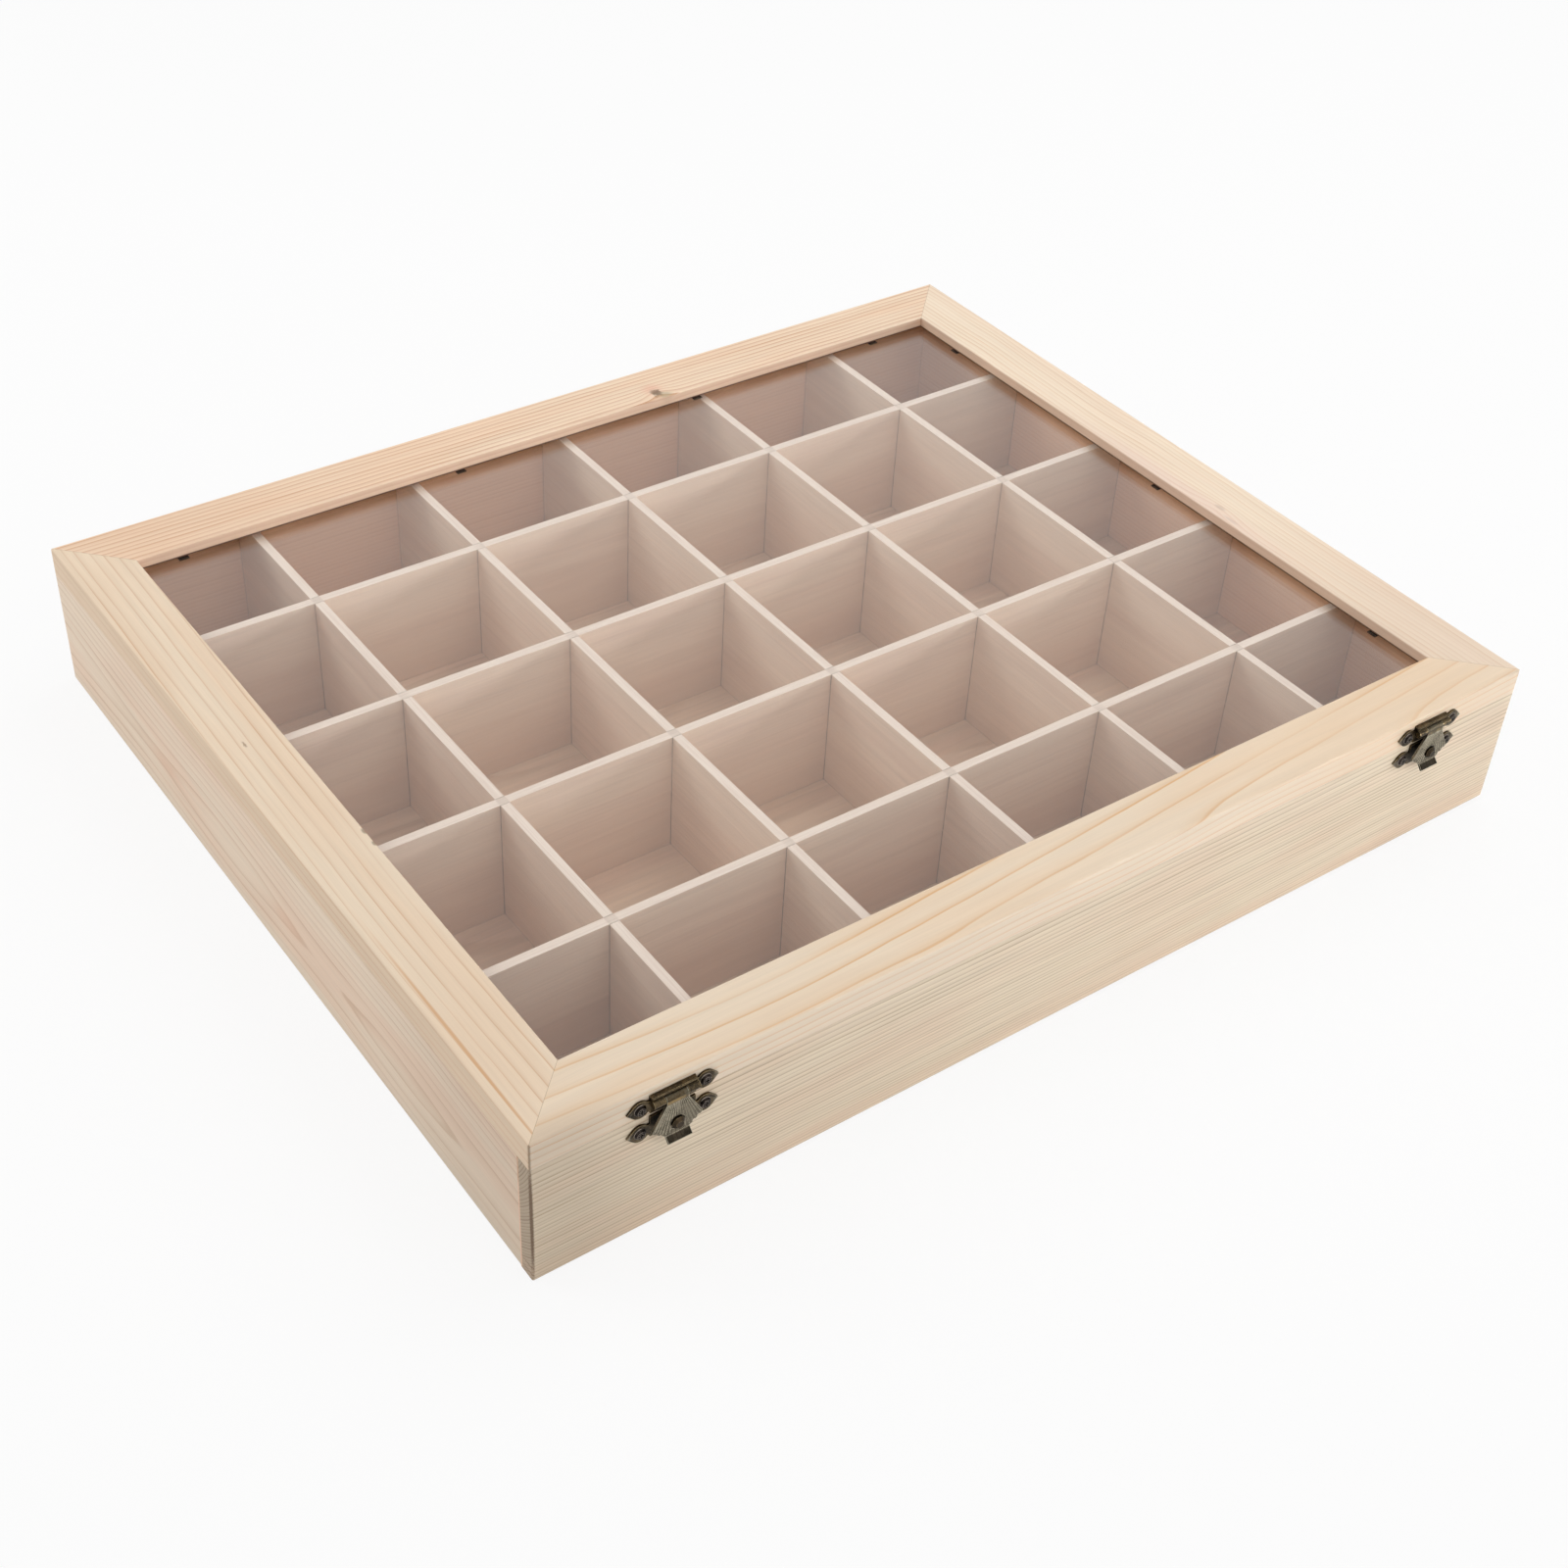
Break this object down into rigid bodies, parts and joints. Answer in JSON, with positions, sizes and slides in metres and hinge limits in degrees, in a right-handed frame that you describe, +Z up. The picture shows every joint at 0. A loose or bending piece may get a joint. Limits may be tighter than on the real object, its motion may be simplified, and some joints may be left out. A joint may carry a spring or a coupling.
{
  "type": "mineral specimen box",
  "caption": "Shallow pine collector's box with a half-lapped divider grid and a mitred glass lid on stop hinges, held shut by small hook latches.",
  "frame": {"origin": "middle of the box's underside, on the surface it rests on", "axes": "+X to the right along the front, +Y from the front with the latches to the back with the hinges, +Z up"},
  "size_m": [0.42, 0.3616, 0.06],
  "materials": {
    "pine_wall": "sanded, unfinished",
    "pine_rail": "sanded, unfinished",
    "divider_wood": "sawn and sanded, unfinished",
    "plywood": "plain plywood",
    "clear_glass": "polished",
    "black_steel": "blackened spring steel",
    "antique_brass": "antiqued",
    "worn_brass": "antiqued, rubbed lighter",
    "screw_brass": "antiqued"
  },
  "bodies": {
    "box": {"front_wall": "pine_wall", "back_wall": "pine_wall", "left_wall": "pine_wall", "right_wall": "pine_wall", "bottom_panel": "plywood", "long_divider_1": "divider_wood", "long_divider_2": "divider_wood", "long_divider_3": "divider_wood", "long_divider_4": "divider_wood", "cross_divider_1": "divider_wood", "cross_divider_2": "divider_wood", "cross_divider_3": "divider_wood", "cross_divider_4": "divider_wood", "cross_divider_5": "divider_wood", "left_catch_plate": "antique_brass", "left_hinge_box_leaf": "antique_brass", "left_hinge_pin": "antique_brass", "right_catch_plate": "antique_brass", "right_hinge_box_leaf": "antique_brass", "right_hinge_pin": "antique_brass", "catch_screws": "screw_brass", "hinge_box_screws": "screw_brass"},
    "lid": {"lid_rail_front": "pine_rail", "lid_rail_back": "pine_rail", "lid_rail_left": "pine_rail", "lid_rail_right": "pine_rail", "glass_pane": "clear_glass", "glazing_tabs": "black_steel", "latch_screws": "screw_brass", "hinge_lid_screws": "screw_brass", "left_latch_plate": "antique_brass", "left_latch_pin": "antique_brass", "left_hinge_lid_leaf": "antique_brass", "right_latch_plate": "antique_brass", "right_latch_pin": "antique_brass", "right_hinge_lid_leaf": "antique_brass"},
    "left_flap": {"left_latch_flap": "worn_brass"},
    "right_flap": {"right_latch_flap": "worn_brass"}
  },
  "joints": [
    {"name": "lid_hinge", "type": "hinge", "parent": "box", "child": "lid", "pos_m": [0, 0.1769, 0.0492], "axis": [-1, 0, 0], "range_deg": [0, 105]},
    {"name": "left_flap_hinge", "type": "hinge", "parent": "lid", "child": "left_flap", "pos_m": [-0.162, -0.177, 0.0545], "axis": [-1, 0, 0], "range_deg": [0, 120]},
    {"name": "right_flap_hinge", "type": "hinge", "parent": "lid", "child": "right_flap", "pos_m": [0.162, -0.177, 0.0545], "axis": [-1, 0, 0], "range_deg": [0, 120]}
  ]
}
